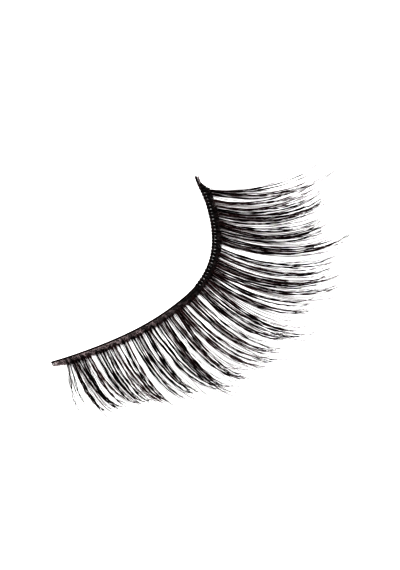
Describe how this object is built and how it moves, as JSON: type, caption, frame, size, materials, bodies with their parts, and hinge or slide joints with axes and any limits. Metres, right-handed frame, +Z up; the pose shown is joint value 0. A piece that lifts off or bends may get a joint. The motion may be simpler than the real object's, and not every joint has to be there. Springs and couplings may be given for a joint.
{
  "type": "false eyelash strip",
  "caption": "Curved strip of false eyelashes: a corded, woven band with curled black fibre locks along its outer edge.",
  "frame": {"origin": "middle of the strip's outline seen from above, on the surface that it lies on", "axes": "+Z up from the surface, +X along the band's chord from the inner corner of the eye to the outer one, -Y the way the lashes point"},
  "size_m": [0.041, 0.0236, 0.0068],
  "materials": {
    "edge_cord": "black twisted thread, matte with a slight sheen",
    "root_cord": "brown-grey twisted thread, matte",
    "woven_web": "grey-brown woven thread, matte, darker towards the outer corner",
    "lash_fringe": "black synthetic hair with a faint brown cast and a soft sheen"
  },
  "bodies": {
    "root": {"edge_cord": "edge_cord", "root_cord": "root_cord", "woven_web": "woven_web", "lash_fringe": "lash_fringe"}
  },
  "joints": []
}
